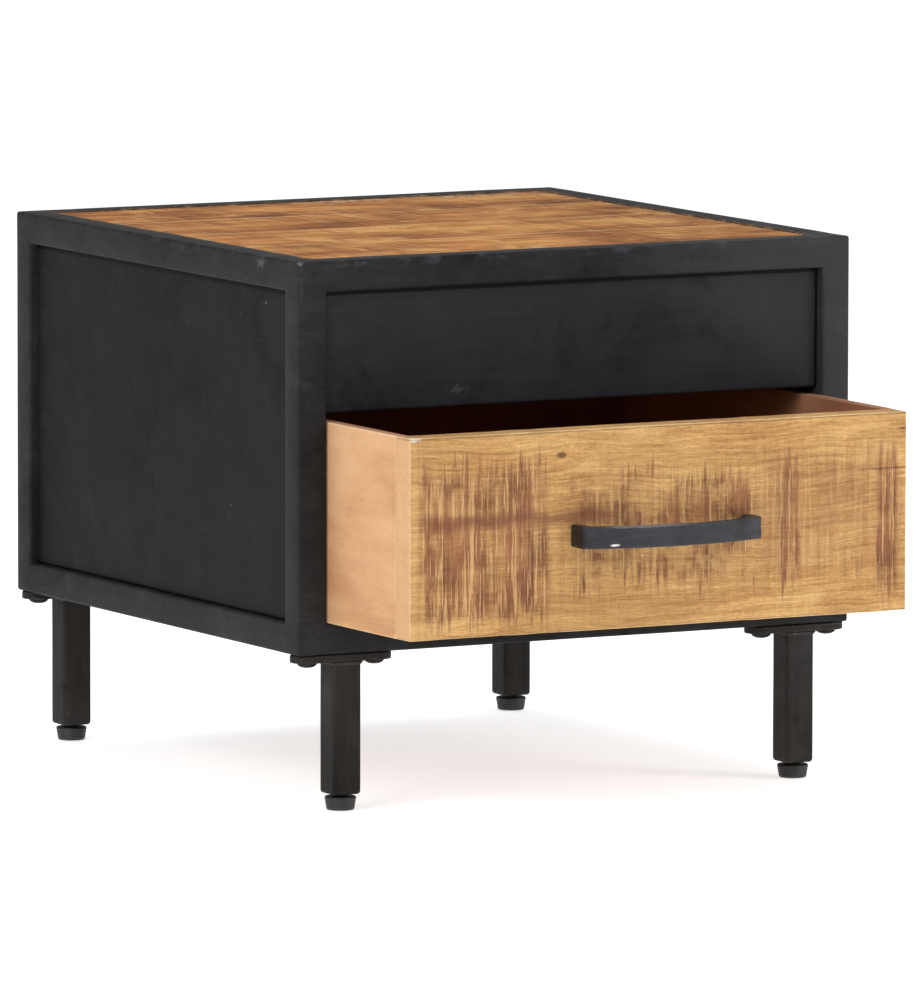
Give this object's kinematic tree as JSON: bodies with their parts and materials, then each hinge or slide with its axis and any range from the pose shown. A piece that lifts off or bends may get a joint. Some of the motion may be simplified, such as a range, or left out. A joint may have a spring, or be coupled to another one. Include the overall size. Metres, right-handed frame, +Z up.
{
  "type": "side table with drawer",
  "caption": "Low square side table with an iron tube frame, plank top, screwed-on square legs with levelling feet, and one sliding wooden drawer with a bow handle.",
  "frame": {"origin": "on the floor, at the middle of the footprint as it stands at rest, from the handle of the partly open drawer to the back of the case", "axes": "+X to the right as seen from the front, +Y to the back, +Z up; the drawer opens towards -Y"},
  "size_m": [0.4, 0.5382, 0.35],
  "materials": {
    "frame_iron": "satin black coating with faint brush marks",
    "panel_iron": "satin-matt black coating, slightly cloudy",
    "fascia_iron": "satin black coating",
    "leg_iron": "satin black coating",
    "handle_iron": "satin slate-black coating, worn at the edges",
    "black_screws": "semi-gloss black",
    "inner_steel": "satin black coating",
    "top_wood": "lacquered rough-sawn planks",
    "front_wood": "lacquered rough-sawn board with dark saw marks",
    "drawer_wood": "smooth, sealed",
    "drawer_bottom_wood": "smooth, stained",
    "guide_wood": "planed, unfinished",
    "black_plastic": "moulded, slightly textured"
  },
  "bodies": {
    "case": {"top_rail_front": "frame_iron", "top_rail_right": "frame_iron", "top_rail_back": "frame_iron", "top_rail_left": "frame_iron", "bottom_rail_front": "frame_iron", "bottom_rail_right": "frame_iron", "bottom_rail_back": "frame_iron", "bottom_rail_left": "frame_iron", "corner_post_front_left": "frame_iron", "corner_post_front_right": "frame_iron", "corner_post_back_left": "frame_iron", "corner_post_back_right": "frame_iron", "side_panel_left": "panel_iron", "side_panel_right": "panel_iron", "back_panel": "panel_iron", "front_fascia": "fascia_iron", "top_plank_1": "top_wood", "top_plank_2": "top_wood", "top_plank_3": "top_wood", "top_plank_4": "top_wood", "top_support_left": "inner_steel", "top_support_right": "inner_steel", "drawer_runner_left": "inner_steel", "drawer_runner_right": "inner_steel", "drawer_guide_left": "guide_wood", "drawer_guide_right": "guide_wood", "leg_plate_front_left": "leg_iron", "leg_tube_front_left": "leg_iron", "foot_plug_front_left": "black_plastic", "leg_screw_front_left_left": "black_screws", "leg_screw_front_left_right": "black_screws", "leg_plate_front_right": "leg_iron", "leg_tube_front_right": "leg_iron", "foot_plug_front_right": "black_plastic", "leg_screw_front_right_left": "black_screws", "leg_screw_front_right_right": "black_screws", "leg_plate_back_left": "leg_iron", "leg_tube_back_left": "leg_iron", "foot_plug_back_left": "black_plastic", "leg_screw_back_left_left": "black_screws", "leg_screw_back_left_right": "black_screws", "leg_plate_back_right": "leg_iron", "leg_tube_back_right": "leg_iron", "foot_plug_back_right": "black_plastic", "leg_screw_back_right_left": "black_screws", "leg_screw_back_right_right": "black_screws"},
    "drawer": {"drawer_front": "front_wood", "drawer_side_left": "drawer_wood", "drawer_side_right": "drawer_wood", "drawer_back": "drawer_wood", "drawer_bottom": "drawer_bottom_wood", "drawer_stop_left": "guide_wood", "drawer_stop_right": "guide_wood", "drawer_handle": "handle_iron", "handle_screw_left": "inner_steel", "handle_screw_right": "inner_steel"},
    "foot_front_left": {"levelling_foot_front_left": "black_plastic"},
    "foot_front_right": {"levelling_foot_front_right": "black_plastic"},
    "foot_back_left": {"levelling_foot_back_left": "black_plastic"},
    "foot_back_right": {"levelling_foot_back_right": "black_plastic"}
  },
  "joints": [
    {"name": "drawer_slide", "type": "slide", "parent": "case", "child": "drawer", "axis": [0, -1, 0], "range_m": [-0.11, 0.15]},
    {"name": "foot_front_left_turn", "type": "hinge", "parent": "case", "child": "foot_front_left", "pos_m": [-0.165, -0.12085, 0], "axis": [0, 0, 1], "range_deg": [-720, 1440]},
    {"name": "foot_front_right_turn", "type": "hinge", "parent": "case", "child": "foot_front_right", "pos_m": [0.165, -0.12085, 0], "axis": [0, 0, 1], "range_deg": [-720, 1440]},
    {"name": "foot_back_left_turn", "type": "hinge", "parent": "case", "child": "foot_back_left", "pos_m": [-0.165, 0.25915, 0], "axis": [0, 0, 1], "range_deg": [-720, 1440]},
    {"name": "foot_back_right_turn", "type": "hinge", "parent": "case", "child": "foot_back_right", "pos_m": [0.165, 0.25915, 0], "axis": [0, 0, 1], "range_deg": [-720, 1440]}
  ]
}
